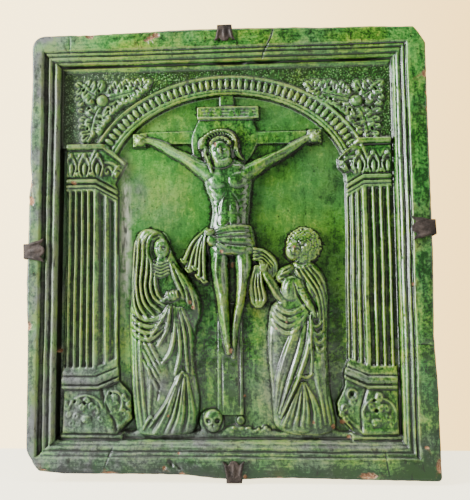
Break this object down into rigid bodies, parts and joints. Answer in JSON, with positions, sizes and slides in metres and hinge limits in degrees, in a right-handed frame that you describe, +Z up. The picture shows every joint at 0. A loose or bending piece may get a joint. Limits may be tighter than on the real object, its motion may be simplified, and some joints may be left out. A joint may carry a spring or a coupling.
{
  "type": "stove tile",
  "caption": "Green-glazed relief stove tile of the Crucifixion under an arch, with a hollow collar behind, held by iron straps with clawed ends.",
  "frame": {"origin": "middle of the strap crossing, on the flat back that bears on the wall", "axes": "+Z up, +Y into the wall, the picture faces -Y with +X to its right"},
  "size_m": [0.3251, 0.077, 0.3611],
  "materials": {
    "green_glaze": "gloss",
    "dark_iron": "satin",
    "rivet_iron": "satin"
  },
  "bodies": {
    "root": {"stove_tile": "green_glaze", "strap_vertical": "dark_iron", "strap_horizontal": "dark_iron", "strap_rivet": "rivet_iron"}
  },
  "joints": []
}
